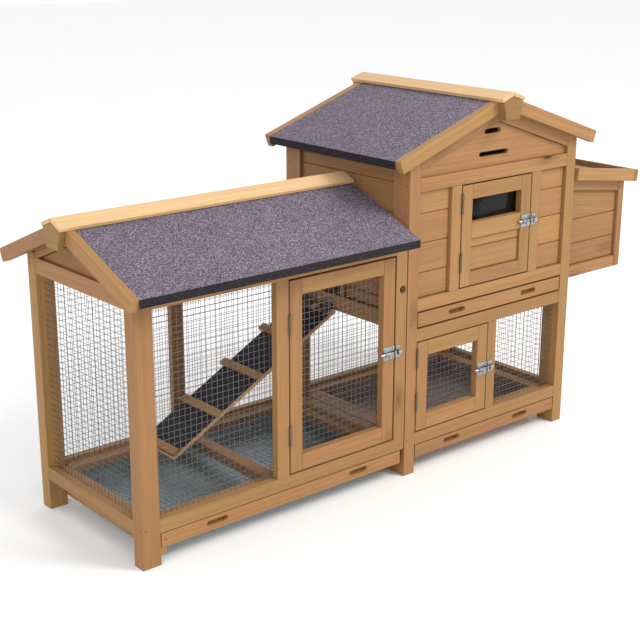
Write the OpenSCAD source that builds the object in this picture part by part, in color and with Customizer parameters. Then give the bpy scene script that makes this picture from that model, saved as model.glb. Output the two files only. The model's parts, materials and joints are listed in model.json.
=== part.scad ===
// Two-storey rabbit hutch with a covered run, a pull-out tray under each floor,
// three hinged doors, a side nest box with a lifting lid and an inner ramp.
// All boards are drawn from the run's front left foot, then moved so that the
// origin lies on the ground under the middle of the whole hutch.
// X runs along the front to the right, the front faces -Y, and Z is up.

/* [Run] */
// Length of the run frame
run_len = 670; // [600:10:760]
// Depth of the run frame
run_depth = 380; // [340:10:400]
// Height of the run's corner posts
run_post_h = 548; // [540:1:548]
// Width of the two left corner posts
corner_post_w = 40; // [34:1:44]
// Left side of the middle post
run_mid_x = 322; // [300:1:330]
// Angle of the run roof
run_pitch = 22; // [20:0.5:22]
// Height of the run roof where its two slopes meet
run_apex_z = 643; // [643:1:650]
// Distance from the run's ridge to its eaves
run_half_span = 240; // [230:1:245]

/* [House] */
// Gap between the run and the house
house_gap = 3; // [2:1:6]
// Width of the house frame
house_w = 527; // [515:1:560]
// Depth of the house frame
house_depth = 404; // [400:1:440]
// Height of the house corner posts
house_post_h = 702; // [690:1:702]
// Depth of the house corner posts
house_post_d = 48; // [40:1:52]
// Angle of the house roof
house_pitch = 19; // [17:0.5:19]
// Height of the house roof where its two slopes meet
house_apex_z = 810; // [810:1:818]
// Distance from the house's ridge to its eaves
house_half_span = 310; // [300:1:316]

/* [Timber] */
// Width of the ordinary frame members
stud = 30; // [26:1:30]
// Depth of the run's posts
stud_d = 30; // [26:1:30]
// Thickness of the run's rails and middle posts
frame_t = 16; // [14:1:17]
// Height of the rails at the floors
rail = 28; // [24:1:28]
// Thickness of the cladding boards
clad = 10; // [8:1:12]
// How far the cladding sits behind the frame
clad_recess = 8; // [5:1:10]
// Visible height of one cladding board
clad_pitch = 64; // [56:1:72]
// Thickness of the door frames
door_t = 17; // [16:1:20]
// Thickness of the tray fronts
tray_front_t = 16; // [12:1:18]
// Width of the barge boards, square to the slope
barge_w = 28; // [24:1:30]
// Thickness of the barge boards
barge_t = 18; // [14:1:20]
// Thickness of the roof boards
deck_t = 12; // [9:1:12]
// Thickness of the roofing felt
felt_t = 3; // [2:0.5:3]

/* [Floors and trays] */
// Bottom of the lowest rails
low_rail_z = 66; // [60:1:70]
// Bottom of the lower trays
tray_z = 35; // [32:1:36]
// Height of a lower tray front
tray_h = 29; // [26:1:30]
// Height of the upper tray front
upper_tray_h = 31; // [28:1:33]
// Depth of the finger slots in a tray front
slot_depth = 12; // [8:1:12]
// Height of a tray pan's wall
pan_h = 24; // [18:1:25]
// Thickness of the sheet of a tray pan
pan_t = 1; // [0.8:0.1:1.5]
// Bottom of the upper tray
upper_tray_z = 335; // [335:1:336]

/* [Wire mesh] */
// Spacing of the drawn wires
mesh_pitch = 38.1; // [25.4:12.7:50.8]
// Thickness of the drawn wires
wire = 2; // [1.5:0.5:2]

/* [Nest box] */
// How far the nest box stands out from the house
nest_w = 205; // [180:5:230]
// Bottom of the nest box
nest_z = 352; // [350:1:366]
// Angle of the nest box lid
lid_pitch = 7.5; // [7:0.5:10]
// Height of the lid where it meets the house
lid_z = 619; // [612:1:622]
// Length of the lid
lid_len = 232; // [228:1:250]
// How far the lid's boards lie below the top of its rim
lid_sink = 16; // [2:1:16]

/* [Ramp] */
// Angle of the ramp
ramp_angle = 28; // [27:0.5:28]
// Length of the ramp
ramp_len = 507; // [495:1:507]
// Width of the ramp
ramp_w = 123; // [110:1:123]
// Distance of the ramp from the run's front
ramp_y = 226; // [220:1:226]

/* [Ironmongery] */
// Height of a butt hinge
hinge_h = 40; // [30:1:44]
// Radius of a hinge knuckle
knuckle_r = 2.6; // [2.4:0.1:2.6]
// Radius of a hinge pin
pin_r = 1.2; // [1:0.1:1.4]
// Radius of a bolt's rod
rod_r = 3; // [2.5:0.1:3]
// How far a bolt slides
bolt_travel = 14; // [10:1:14]

/* [Hidden] */
$fn = 48;
slit = 0.15;
mesh_gap = 0.3;
fit = 0.08;
keeper_fit = 0.3;
leaf_t = 1.2;

run_mid_y = run_depth / 2;
run_back = run_depth - stud_d;
run_right_x = run_len - stud;
top_rail_z = 505;
top_rail_h = 33;
low_top = low_rail_z + rail;
run_roof_end = run_len - 12;
ledge = 30;
ledge_top = 86;
staple = 5;

house_x = run_len + house_gap;
house_end = house_x + house_w;
house_mid_x = house_x + house_w / 2;
in_x0 = house_x + stud;
in_x1 = house_end - stud;
front_d = 18;
house_back = house_depth - front_d;
side_y0 = house_post_d;
side_y1 = house_depth - house_post_d;
upper_rail_z = 303;
floor_rail_z = 370;
floor_rail_top = floor_rail_z + rail - 1;
plate_z = 628;
plate_top = plate_z + 29;
sill_z = 326;
sill_top = 362;
side_plate_z = 672;
jamb_w = 29;
jamb_l_x = 798;
jamb_r_x = 1053;
mid_stile_x = 928;
mid_stile_w = 27;

door_gap = 3.5;
run_door = [run_mid_x + stud + door_gap, run_right_x - 4, 97, 501];
house_door = [jamb_l_x + jamb_w + door_gap, jamb_r_x - 3, 400, 625];
lower_door = [in_x0 + door_gap, mid_stile_x - 2.5, 97, 300];
door_stile = 31;
hinge_y = -2.2;
run_hinge_z = [160, 394];
house_hinge_z = [437, 566];
lower_hinge_z = [146, 246];
run_bolt_z = 296;
house_bolt_z = 521;
lower_bolt_z = 197;
joining_z = 428;
run_slots = [172, 539];
house_slots = [824, 1058];
lower_slots = [820, 1049];

pop_y0 = ramp_y - 8;
pop_top = 516;
nest_y0 = 10;
nest_y1 = house_depth - nest_y0;
nest_end = house_end + nest_w;
nest_open_top = 540;
nest_lines = [432, 491];
lid_hinge_x = house_end + 3;

felt_v = felt_t / cos(run_pitch);
deck_v = deck_t / cos(run_pitch);
eave_drop = 18;
cap_t = 8;
block_t = 19;

x_low = -(barge_t + 16 + block_t - 5);
x_high = house_end + 3 + lid_len * cos(lid_pitch) - 2 * sin(lid_pitch);
y_low = run_mid_y - run_half_span;
y_high = house_depth + barge_t + 1 + block_t;
centre = [(x_low + x_high) / 2, (y_low + y_high) / 2, 0];

wood = [0.80, 0.58, 0.34];
light_wood = [0.90, 0.76, 0.54];
felt_colour = [0.45, 0.40, 0.47];
dark_felt = [0.16, 0.16, 0.18];
steel = [0.74, 0.75, 0.77];
tray_blue = [0.55, 0.63, 0.68];
dark_steel = [0.33, 0.30, 0.24];
clear = [0.80, 0.86, 0.83, 0.35];

// ---------- helpers ----------

// A board between two corners
module board(x0, x1, y0, y1, z0, z1) {
    translate([x0, y0, z0]) cube([x1 - x0, y1 - y0, z1 - z0]);
}

// A profile in the YZ plane, extruded from x0 to x1
module along_x(x0, x1) {
    translate([x0, 0, 0]) rotate([90, 0, 90]) linear_extrude(x1 - x0) children();
}

// A profile in the XZ plane, extruded from y0 to y1
module along_y(y0, y1) {
    translate([0, y1, 0]) rotate([90, 0, 0]) linear_extrude(y1 - y0) children();
}

// A roof layer to one side of a ridge: distances d0 to d1 from the ridge,
// depths v0 to v1 below the line of the roof's top
module slope_strip(d0, d1, v0, v1, apex, pitch) {
    polygon([
        [d0, apex - d0 * tan(pitch) - v0],
        [d1, apex - d1 * tan(pitch) - v0],
        [d1, apex - d1 * tan(pitch) - v1],
        [d0, apex - d0 * tan(pitch) - v1]]);
}

// A barge board: its foot is cut square to the slope
module barge_profile(half_span, apex, pitch) {
    v = barge_w / cos(pitch);
    foot = half_span - barge_w * sin(pitch);
    polygon([
        [slit, apex],
        [half_span, apex - half_span * tan(pitch)],
        [foot, apex - half_span * tan(pitch) - barge_w * cos(pitch)],
        [slit, apex - v]]);
}

// Felt on one slope with a lip wrapped down over the eave
module felt_profile(d0, half_span, apex, pitch) {
    drop = tan(pitch);
    lip = 2.5;
    polygon([
        [d0, apex - d0 * drop - 1],
        [half_span, apex - half_span * drop - 1],
        [half_span, apex - half_span * drop - eave_drop],
        [half_span - lip, apex - half_span * drop - eave_drop],
        [half_span - lip, apex - (half_span - lip) * drop - 1 - felt_v],
        [d0, apex - d0 * drop - 1 - felt_v]]);
}

// Both sides of a ridge that runs along X at the middle of the run
module both_run_sides() {
    for (side = [-1, 1])
        translate([0, run_mid_y, 0]) scale_y(side) children();
}

// Both sides of a ridge that runs along Y at the middle of the house
module both_house_sides() {
    for (side = [-1, 1])
        translate([house_mid_x, 0, 0]) scale_x(side) children();
}

module scale_y(side) {
    if (side < 0) mirror([0, 1, 0]) children();
    else children();
}

module scale_x(side) {
    if (side < 0) mirror([1, 0, 0]) children();
    else children();
}

// A welded grid of square cells that fills a rectangle
module wire_grid(w, h) {
    nx = round(w / mesh_pitch);
    ny = round(h / mesh_pitch);
    cell_x = (w - (nx + 1) * wire) / nx;
    cell_y = (h - (ny + 1) * wire) / ny;
    difference() {
        square([w, h]);
        for (i = [0 : nx - 1], j = [0 : ny - 1])
            translate([wire + i * (cell_x + wire), wire + j * (cell_y + wire)])
                square([cell_x, cell_y]);
    }
}

// Wire grids that stand across Y, across X, and flat
module grid_facing_y(x0, x1, y, z0, z1) {
    translate([x0 + mesh_gap, y + wire / 2, z0 + mesh_gap]) rotate([90, 0, 0])
        linear_extrude(wire)
            wire_grid(x1 - x0 - 2 * mesh_gap, z1 - z0 - 2 * mesh_gap);
}

module grid_facing_x(x, y0, y1, z0, z1) {
    translate([x - wire / 2, y0 + mesh_gap, z0 + mesh_gap]) rotate([90, 0, 90])
        linear_extrude(wire)
            wire_grid(y1 - y0 - 2 * mesh_gap, z1 - z0 - 2 * mesh_gap);
}

module grid_flat(x0, x1, y0, y1, z) {
    translate([x0 + mesh_gap, y0 + mesh_gap, z]) linear_extrude(wire)
        wire_grid(x1 - x0 - 2 * mesh_gap, y1 - y0 - 2 * mesh_gap);
}

// Boards stacked between two heights, with joints at the shared cladding lines
function clad_lines(z0, z1, first = 452) = concat(
    [z0],
    [for (z = [first - 2 * clad_pitch : clad_pitch : z1])
        if (z > z0 + 12 && z < z1 - 12) z],
    [z1]);

module cladding_y(x0, x1, y, z0, z1) {
    lines = clad_lines(z0, z1);
    for (i = [0 : len(lines) - 2])
        board(x0 + slit, x1 - slit, y, y + clad, lines[i] + slit, lines[i + 1] - slit);
}

module cladding_x(x, y0, y1, z0, z1) {
    lines = clad_lines(z0, z1);
    for (i = [0 : len(lines) - 2])
        board(x, x + clad, y0 + slit, y1 - slit, lines[i] + slit, lines[i + 1] - slit);
}

// A slot with round ends, cut through a board that faces -Y
module slot_y(x, z, w, h, y0, y1) {
    board(x - w / 2 + h / 2, x + w / 2 - h / 2, y0, y1, z - h / 2, z + h / 2);
    for (side = [-1, 1])
        translate([x + side * (w - h) / 2, y1, z]) rotate([90, 0, 0])
            cylinder(r = h / 2, h = y1 - y0);
}

// A tray front with two blind finger slots
module tray_front(x0, x1, z, h, slots) {
    difference() {
        board(x0, x1, 0, tray_front_t, z, z + h);
        for (x = slots)
            slot_y(x, z + 16, 50, 11, -1, slot_depth);
    }
}

// An open sheet-metal pan
module tray_pan(x0, x1, y1, z) {
    y0 = tray_front_t + slit;
    difference() {
        board(x0, x1, y0, y1, z, z + pan_h);
        board(x0 + pan_t, x1 - pan_t, y0 + pan_t, y1 - pan_t, z + pan_t, z + pan_h + 1);
    }
}

// A door frame of two stiles, a top rail and a bottom rail: d = [x0, x1, z0, z1]
module door_frame(d, top, bottom) {
    for (x = [d[0], d[1] - door_stile])
        board(x, x + door_stile, 0, door_t, d[2], d[3]);
    door_rail(d, d[3] - top, d[3]);
    door_rail(d, d[2], d[2] + bottom);
}

module door_rail(d, z0, z1) {
    board(d[0] + door_stile + slit, d[1] - door_stile - slit, 0, door_t, z0, z1);
}

// A butt hinge, its pin along Z at the origin. The leaves stand in the gap
// behind the pin, with the fixed one to -X and the moving one to +X.
module fixed_leaf(gap, depth) {
    third = hinge_h / 3;
    for (z = [0, 2 * third])
        knuckle(z + slit, third - 2 * slit, -1, gap);
    board(-gap / 2 + 0.05, -gap / 2 + 0.05 + leaf_t, knuckle_r + slit, depth, 0, hinge_h);
}

module moving_leaf(gap, depth) {
    third = hinge_h / 3;
    knuckle(third + slit, third - 2 * slit, 1, gap);
    board(gap / 2 - 0.05 - leaf_t, gap / 2 - 0.05, knuckle_r + slit, depth, 0, hinge_h);
}

// One knuckle, joined to its leaf by a short tongue
module knuckle(z, h, side, gap) {
    tongue = gap / 2 - 0.05;
    difference() {
        union() {
            translate([0, 0, z]) cylinder(r = knuckle_r, h = h);
            if (side < 0) board(-tongue, -tongue + leaf_t, 0, knuckle_r + 1, z, z + h);
            else board(tongue - leaf_t, tongue, 0, knuckle_r + 1, z, z + h);
        }
        translate([0, 0, z - 1]) cylinder(r = pin_r + fit, h = h + 2);
    }
}

// Where the hinges of each upright door stand
module run_door_hinges() {
    for (z = run_hinge_z) translate([run_mid_x + stud + door_gap / 2, hinge_y, z]) children();
}

module house_door_hinges() {
    for (z = house_hinge_z)
        translate([jamb_l_x + jamb_w + door_gap / 2, hinge_y, z]) children();
}

module lower_door_hinges() {
    for (z = lower_hinge_z)
        translate([in_x0 + door_gap / 2, hinge_y, z]) children();
}

// The whole hutch is moved so that its origin is under its middle
module placed() {
    translate(-centre) children();
}

// ---------- run ----------

// Posts start at y0, rails and the middle post at rail_y
module run_frame_side(y0, rail_y) {
    rail_end = rail_y + frame_t;
    board(0, corner_post_w, y0, y0 + stud_d, 0, run_post_h);
    difference() {
        board(run_right_x, run_len, y0, y0 + stud_d, low_rail_z, run_post_h);
        at_joining_screws() joining_screw(0, slit);
        for (y = [22, run_depth + 1])
            translate([run_len - 11, y, joining_z]) rotate([90, 0, 0])
                cylinder(r = 9, h = 23);
    }
    board(run_mid_x, run_mid_x + stud, rail_y, rail_end, low_top + slit, top_rail_z - slit);
    board(corner_post_w + slit, run_right_x - slit, rail_y, rail_end, low_rail_z, low_top);
    board(corner_post_w + slit, run_right_x - slit, rail_y, rail_end,
        top_rail_z, top_rail_z + top_rail_h);
}

module run_front_frame() {
    color(wood) run_frame_side(0, 0);
}

module run_back_frame() {
    color(wood) run_frame_side(run_back, run_depth - frame_t);
}

// Rails across the open end, and across the end that meets the house
module run_end_frame() {
    color(wood) {
        for (z = [[low_rail_z, low_top], [top_rail_z, top_rail_z + top_rail_h]])
            board(0, frame_t, stud_d + slit, run_back - slit, z[0], z[1]);
        board(run_right_x + 2, run_len, stud_d + slit, run_back - slit, low_rail_z, low_top);
    }
}

// Rake rails under the roof and the three-cornered board between them
module run_end_gable() {
    rise = top_rail_z + top_rail_h;
    under = 1 + felt_v + deck_v + 1;
    color(wood) {
        both_run_sides() along_x(0, frame_t) intersection() {
            slope_strip(slit, run_mid_y - stud_d - 1, under, under + 26,
                run_apex_z, run_pitch);
            translate([0, rise + slit]) square([run_mid_y, 200]);
        }
        reach = (run_apex_z - under - 27 - rise) / tan(run_pitch);
        along_x(frame_t - 8, frame_t) polygon([
            [run_mid_y - reach, rise + slit],
            [run_mid_y + reach, rise + slit],
            [run_mid_y, run_apex_z - under - 27]]);
    }
}

// Cross bar and ledges that border the floor mesh, and the runners of the tray
module run_floor_frame() {
    y0 = frame_t + slit;
    y1 = run_depth - frame_t - slit;
    color(wood) {
        board(run_mid_x, run_mid_x + stud, y0, y1, low_rail_z, ledge_top);
        for (y = [y0, y1 - ledge], x = [
                [frame_t + ledge + slit, run_mid_x - slit],
                [run_mid_x + stud + slit, run_right_x - slit]])
            board(x[0], x[1], y, y + ledge, low_rail_z + 4, ledge_top);
        board(frame_t + slit, frame_t + ledge, stud_d + slit, run_back - slit,
            low_rail_z + 4, ledge_top);
        board(run_right_x - ledge, run_right_x - slit, y0 + ledge + slit, y1 - ledge - slit,
            low_rail_z + 4, ledge_top);
        board(corner_post_w + slit, corner_post_w + 14, 2, run_depth - 2, 20, tray_z - 0.5);
        board(run_len - 8, run_len, 32, run_depth - 2, 20, low_rail_z - slit);
        board(run_len - 24, run_len - 8 - slit, 32, run_depth - 2, 20, tray_z - 0.5);
    }
}

module floor_mesh() {
    z = ledge_top - 3;
    y0 = frame_t + ledge;
    y1 = run_depth - frame_t - ledge;
    color(steel) {
        grid_flat(frame_t + ledge, run_mid_x, y0, y1, z);
        grid_flat(run_mid_x + stud, run_right_x - ledge, y0, y1, z);
        grid_flat(in_x0 + ledge, in_x1 - ledge, side_y0, side_y1, z);
    }
}

// Meshes are stapled to the inner faces of the rails
module run_front_mesh() {
    color(steel) grid_facing_y(corner_post_w, run_mid_x + 8, frame_t + mesh_gap + wire / 2,
        low_top - staple, top_rail_z + staple);
}

module run_back_mesh() {
    color(steel) grid_facing_y(corner_post_w, run_right_x,
        run_depth - frame_t - mesh_gap - wire / 2, low_top - staple, top_rail_z + staple);
}

module run_end_mesh() {
    color(steel) grid_facing_x(frame_t + mesh_gap + wire / 2, stud_d, run_back,
        low_top - staple, top_rail_z + staple);
}

// Mesh on the back of a door, over a window between two heights
module door_mesh(d, z0, z1) {
    color(steel) grid_facing_y(d[0] + door_stile - staple, d[1] - door_stile + staple,
        door_t + mesh_gap + wire / 2, z0 - staple, z1 + staple);
}

module run_door_frame() {
    color(wood) door_frame(run_door, 32, 35);
}

module run_door_mesh() {
    door_mesh(run_door, run_door[2] + 35, run_door[3] - 32);
}

module run_roof_decks() {
    color(wood) both_run_sides() along_x(-16 + slit, run_roof_end)
        slope_strip(0.2, run_half_span - 3, 1.2 + felt_v, 1 + felt_v + deck_v,
            run_apex_z, run_pitch);
}

module run_roof_felt() {
    color(felt_colour) both_run_sides() along_x(-16 + slit, run_roof_end)
        felt_profile(3, run_half_span, run_apex_z, run_pitch);
}

module run_barge_boards() {
    color(wood) both_run_sides() along_x(-16 - barge_t, -16)
        barge_profile(run_half_span, run_apex_z, run_pitch);
}

// The two boards over a ridge, as a profile to one side of it
module cap_profile(apex, pitch) {
    v = cap_t / cos(pitch);
    polygon([
        [slit, apex + v],
        [36, apex + v - 36 * tan(pitch)],
        [36 - cap_t * sin(pitch), apex + v - 36 * tan(pitch) - cap_t * cos(pitch) + 0.1],
        [slit, apex + 0.1]]);
}

// The block that closes the end of a ridge, wider under the cap than at its foot
module block_profile(apex, pitch) {
    polygon([
        [0, apex - 0.3],
        [30, apex - 0.3 - 30 * tan(pitch)],
        [21, apex - 50],
        [-21, apex - 50],
        [-30, apex - 0.3 - 30 * tan(pitch)]]);
}

module run_ridge_cap() {
    color(light_wood) {
        both_run_sides() along_x(x_low, run_roof_end)
            cap_profile(run_apex_z, run_pitch);
        along_x(x_low, -16 - barge_t - slit)
            translate([run_mid_y, 0]) block_profile(run_apex_z, run_pitch);
    }
}

module run_tray_front() {
    color(wood) tray_front(corner_post_w + 2, run_len - 10, tray_z, tray_h,
        run_slots);
}

module run_tray_pan() {
    color(tray_blue) tray_pan(corner_post_w + 6, run_len - 14, run_depth - frame_t - 4,
        tray_z);
}

// ---------- ramp ----------

// The ramp hangs from a pin along Y by the house's sill
ramp_pin = [house_x - 5.2, 0, sill_z + 10];

module on_ramp() {
    translate(ramp_pin) rotate([0, -ramp_angle, 0]) children();
}

module ramp_board() {
    color(light_wood) on_ramp()
        board(-ramp_len, -3, ramp_y, ramp_y + ramp_w, -12.8, -4.6);
}

module ramp_felt() {
    color(dark_felt) on_ramp()
        board(-ramp_len + 2, -24, ramp_y + 1, ramp_y + ramp_w - 1, -4.5, -2.7);
}

module ramp_rungs() {
    color(wood) on_ramp()
        for (i = [0 : 3])
            board(-ramp_len + 2 + i * 125, -ramp_len + 20 + i * 125,
                ramp_y - 3, ramp_y + ramp_w + 9, -2.6, 6);
}

// ---------- house ----------

module house_posts() {
    color(wood) difference() {
        for (x = [house_x, in_x1], y = [0, side_y1])
            board(x, x + stud, y, y + house_post_d, 0, house_post_h);
        at_joining_screws() joining_screw(0, slit);
    }
}

module house_cross_rail(y0, z0, z1) {
    board(in_x0 + slit, in_x1 - slit, y0, y0 + front_d, z0, z1);
}

// Rake rail on the front and back, under the roof boards
module house_rakes(y0) {
    under = 1 + (felt_t + deck_t) / cos(house_pitch) + 1;
    both_house_sides() along_y(y0, y0 + front_d)
        slope_strip(slit, house_w / 2 - stud - 0.5, under, under + 39,
            house_apex_z, house_pitch);
}

module house_front_frame() {
    color(wood) {
        house_cross_rail(0, plate_z, plate_top);
        house_cross_rail(0, floor_rail_z, floor_rail_top);
        house_cross_rail(0, upper_rail_z, upper_rail_z + rail);
        house_cross_rail(0, low_rail_z, low_top);
        for (x = [jamb_l_x, jamb_r_x])
            board(x, x + jamb_w, 0, front_d, floor_rail_top + slit, plate_z - slit);
        board(mid_stile_x, mid_stile_x + mid_stile_w, 0, front_d,
            low_top + slit, upper_rail_z - slit);
        house_rakes(0);
    }
}

// Rails between the posts on both sides and across the back, and the
// runners that carry the two house trays
module house_side_rails() {
    left = [[low_rail_z, low_top], [sill_z, sill_top], [side_plate_z, house_post_h]];
    right = [[low_rail_z, low_top], [upper_rail_z, upper_rail_z + rail],
        [side_plate_z, house_post_h]];
    color(wood) {
        for (z = left)
            board(house_x, house_x + front_d, side_y0 + slit, side_y1 - slit, z[0], z[1]);
        for (z = right)
            board(house_end - front_d, house_end, side_y0 + slit, side_y1 - slit, z[0], z[1]);
        for (z = [low_rail_z, upper_rail_z])
            house_cross_rail(house_back, z, z + rail);
        house_cross_rail(house_back, plate_z, plate_top);
        house_rakes(house_back);
        for (y = [[front_d, side_y0], [side_y1, house_back]])
            board(in_x0 + slit, in_x1 - slit, y[0] + slit, y[1] - slit,
                low_rail_z + 4, ledge_top);
        for (x = [in_x0, in_x1 - ledge])
            board(x + slit, x + ledge - slit, side_y0 + slit, side_y1 - slit,
                low_rail_z + 4, ledge_top);
        for (z = [[20, tray_z - 0.5], [upper_tray_z - 16, upper_tray_z - 0.5]],
                x = [in_x0 + slit, in_x1 - 14 - slit])
            board(x, x + 14, front_d + slit, house_back - slit, z[0], z[1]);
    }
}

module house_front_siding() {
    color(wood) {
        cladding_y(in_x0, jamb_l_x, clad_recess, floor_rail_top, plate_z);
        cladding_y(jamb_r_x + jamb_w, in_x1, clad_recess, floor_rail_top, plate_z);
    }
}

// The two boards of a gable, below the rake rails
module gable_boards(y) {
    split = 710;
    top = house_apex_z - 2 - (felt_t + deck_t) / cos(house_pitch) - 40;
    reach_split = (top - split) / tan(house_pitch);
    edge = house_w / 2 - stud - 0.5;
    edge_top = top - edge * tan(house_pitch);
    along_y(y, y + clad) translate([house_mid_x, 0]) {
        polygon([
            [-edge, plate_top + slit], [edge, plate_top + slit], [edge, edge_top],
            [reach_split, split - slit], [-reach_split, split - slit], [-edge, edge_top]]);
        polygon([
            [-reach_split, split + slit], [reach_split, split + slit], [0, top]]);
    }
}

module house_front_gable() {
    color(wood) difference() {
        gable_boards(clad_recess);
        slot_y(house_mid_x - 6, 684, 92, 11, clad_recess - 1, clad_recess + clad + 1);
        slot_y(house_mid_x - 12, 733, 50, 11, clad_recess - 1, clad_recess + clad + 1);
    }
}

// Left wall, with the pop hole at the top of the ramp
module house_left_wall() {
    x = house_x + clad_recess;
    jamb = 12;
    color(wood) {
        cladding_x(x, side_y0, pop_y0 - jamb, sill_top, pop_top);
        cladding_x(x, side_y0, side_y1, pop_top, side_plate_z);
        board(house_x, house_x + front_d, pop_y0 - jamb, pop_y0,
            sill_top + slit, pop_top - slit);
    }
}

// Right wall, open between its posts where the nest box joins it
module house_right_wall() {
    x = house_end - clad_recess - clad;
    color(wood) {
        cladding_x(x, side_y0, side_y1, upper_rail_z + rail, nest_z + 14);
        cladding_x(x, side_y0, side_y1, nest_open_top, side_plate_z);
    }
}

module house_back_wall() {
    y = house_depth - clad_recess - clad;
    color(wood) {
        cladding_y(in_x0, in_x1, y, upper_rail_z + rail, plate_z);
        gable_boards(y);
    }
}

module house_door_frame() {
    d = house_door;
    color(wood) {
        door_frame(d, 32, 31);
        door_rail(d, 505, 541);
    }
}

module house_door_panel() {
    d = house_door;
    for (z = [[d[2] + 31, 484], [484, 505]])
        color(wood) board(d[0] + door_stile + slit, d[1] - door_stile - slit,
            5, 12, z[0] + slit, z[1] - slit);
}

// Clear pane behind the window of the house's upper door
module house_door_pane() {
    d = house_door;
    color(clear) board(d[0] + door_stile - staple, d[1] - door_stile + staple,
        door_t + slit, door_t + slit + 2.5, 541 - staple, d[3] - 32 + staple);
}

module house_tray_front() {
    color(wood) tray_front(in_x0 + 3, in_x1 - 3, upper_tray_z, upper_tray_h,
        house_slots);
}

module house_tray_pan() {
    color(tray_blue) tray_pan(in_x0 + 5, in_x1 - 5, house_back - 4, upper_tray_z);
}

module lower_door_frame() {
    color(wood) door_frame(lower_door, 33, 35);
}

module lower_door_mesh() {
    door_mesh(lower_door, lower_door[2] + 35, lower_door[3] - 33);
}

// Fixed mesh of the lower storey: front right, back and right side
module lower_wall_mesh() {
    z0 = low_top - staple;
    z1 = upper_rail_z + staple;
    off = front_d + mesh_gap + wire / 2;
    color(steel) {
        grid_facing_y(mid_stile_x + 6, in_x1, off, z0, z1);
        grid_facing_y(in_x0, in_x1, house_depth - off, z0, z1);
        grid_facing_x(house_end - off, side_y0, side_y1, z0, z1);
    }
}

module lower_tray_front() {
    color(wood) tray_front(in_x0 + 3, in_x1 - 3, tray_z, tray_h, lower_slots);
}

module lower_tray_pan() {
    color(tray_blue) tray_pan(in_x0 + 5, in_x1 - 5, house_back - 4, tray_z);
}

module house_roof_decks() {
    v = 1 + felt_t / cos(house_pitch);
    color(wood) both_house_sides() along_y(-1 + slit, house_depth + 1 - slit)
        slope_strip(0.2, house_half_span - 3, v + 0.2, v + deck_t / cos(house_pitch),
            house_apex_z, house_pitch);
}

module house_roof_felt() {
    color(felt_colour) both_house_sides() along_y(-1 + slit, house_depth + 1 - slit)
        felt_profile(3, house_half_span, house_apex_z, house_pitch);
}

module house_barge_boards() {
    color(wood) both_house_sides()
        for (y = [-1 - barge_t, house_depth + 1])
            along_y(y, y + barge_t)
                barge_profile(house_half_span, house_apex_z, house_pitch);
}

module house_ridge_cap() {
    front = -1 - barge_t - block_t;
    color(light_wood) {
        both_house_sides() along_y(front, y_high)
            cap_profile(house_apex_z, house_pitch);
        for (y = [front, y_high - block_t + slit])
            along_y(y, y + block_t - slit)
                translate([house_mid_x, 0]) block_profile(house_apex_z, house_pitch);
    }
}

// ---------- nest box ----------

// Height of the nest box walls below the sloping lid, at a given X
function nest_top(x) = lid_z - (x - house_end) * tan(lid_pitch)
    - (lid_sink + deck_t) / cos(lid_pitch);

// A wall with a sloping top that faces the front or the back
module nest_side_wall(y_frame, y_clad) {
    stile = 21;
    x0 = house_end + slit;
    x1 = nest_end - stile;
    low = nest_z + rail;
    frame_y = [y_frame, y_frame + 18];
    top_drop = 26;
    board(x0, x1 - slit, frame_y[0], frame_y[1], nest_z, low);
    along_y(frame_y[0], frame_y[1]) {
        polygon([[x1, nest_z], [nest_end, nest_z], [nest_end, nest_top(nest_end)],
            [x1, nest_top(x1)]]);
        polygon([[x0, nest_top(x0) - top_drop], [x1 - slit, nest_top(x1) - top_drop],
            [x1 - slit, nest_top(x1)], [x0, nest_top(x0)]]);
    }
    lines = [low, nest_lines[0], nest_lines[1]];
    for (i = [0 : 1])
        board(x0, x1 - slit, y_clad, y_clad + clad, lines[i] + slit, lines[i + 1] - slit);
    along_y(y_clad, y_clad + clad) polygon([
        [x0, nest_lines[1] + slit], [x1 - slit, nest_lines[1] + slit],
        [x1 - slit, nest_top(x1) - top_drop - slit], [x0, nest_top(x0) - top_drop - slit]]);
}

module nest_box_walls() {
    y0 = nest_y0 + 18 + slit;
    y1 = nest_y1 - 18 - slit;
    top = nest_top(nest_end);
    color(wood) {
        nest_side_wall(nest_y0, nest_y0 + clad_recess);
        nest_side_wall(nest_y1 - 18, nest_y1 - clad_recess - clad);
        board(nest_end - 18, nest_end, y0, y1, nest_z, nest_z + rail);
        board(nest_end - 18, nest_end, y0, y1, top - 26, top);
        for (z = [[nest_z + rail, nest_lines[0]], nest_lines, [nest_lines[1], top - 26]])
            board(nest_end - clad_recess - clad, nest_end - clad_recess, y0, y1,
                z[0] + slit, z[1] - slit);
    }
}

module nest_box_floor() {
    color(light_wood) board(house_end + slit, nest_end - 18 - slit,
        nest_y0 + 18 + slit, nest_y1 - 18 - slit, nest_z + 2, nest_z + 13);
}

// The lid lies in its own frame, its hinge pin at the origin
module on_lid() {
    translate([lid_hinge_x, 0, lid_z + 2]) rotate([0, lid_pitch, 0]) children();
}

module nest_lid() {
    side = 16;
    rim = 14;
    first = 4.2;
    board_pitch = (lid_len - rim - first) / 3;
    y0 = nest_y0 - 2 - side;
    y1 = nest_y1 + 2;
    color(wood) on_lid() {
        for (i = [0 : 2])
            board(first + i * board_pitch + slit, first + (i + 1) * board_pitch - slit,
                y0 + side + slit, y1 - slit, -lid_sink - deck_t, -lid_sink);
        for (y = [y0, y1])
            board(first, lid_len - rim - slit, y, y + side, -30, -2);
        board(lid_len - rim, lid_len, y0, y1 + side, -30, -2);
    }
}

// ---------- ironmongery ----------

// A knuckle whose pin lies along Y, joined to its leaf by a tongue given as a profile
module lying_knuckle(y, h) {
    difference() {
        union() {
            translate([0, y + h, 0]) rotate([90, 0, 0]) cylinder(r = knuckle_r, h = h);
            along_y(y, y + h) children();
        }
        translate([0, y + h + 1, 0]) rotate([90, 0, 0]) cylinder(r = pin_r + fit, h = h + 2);
    }
}

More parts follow.
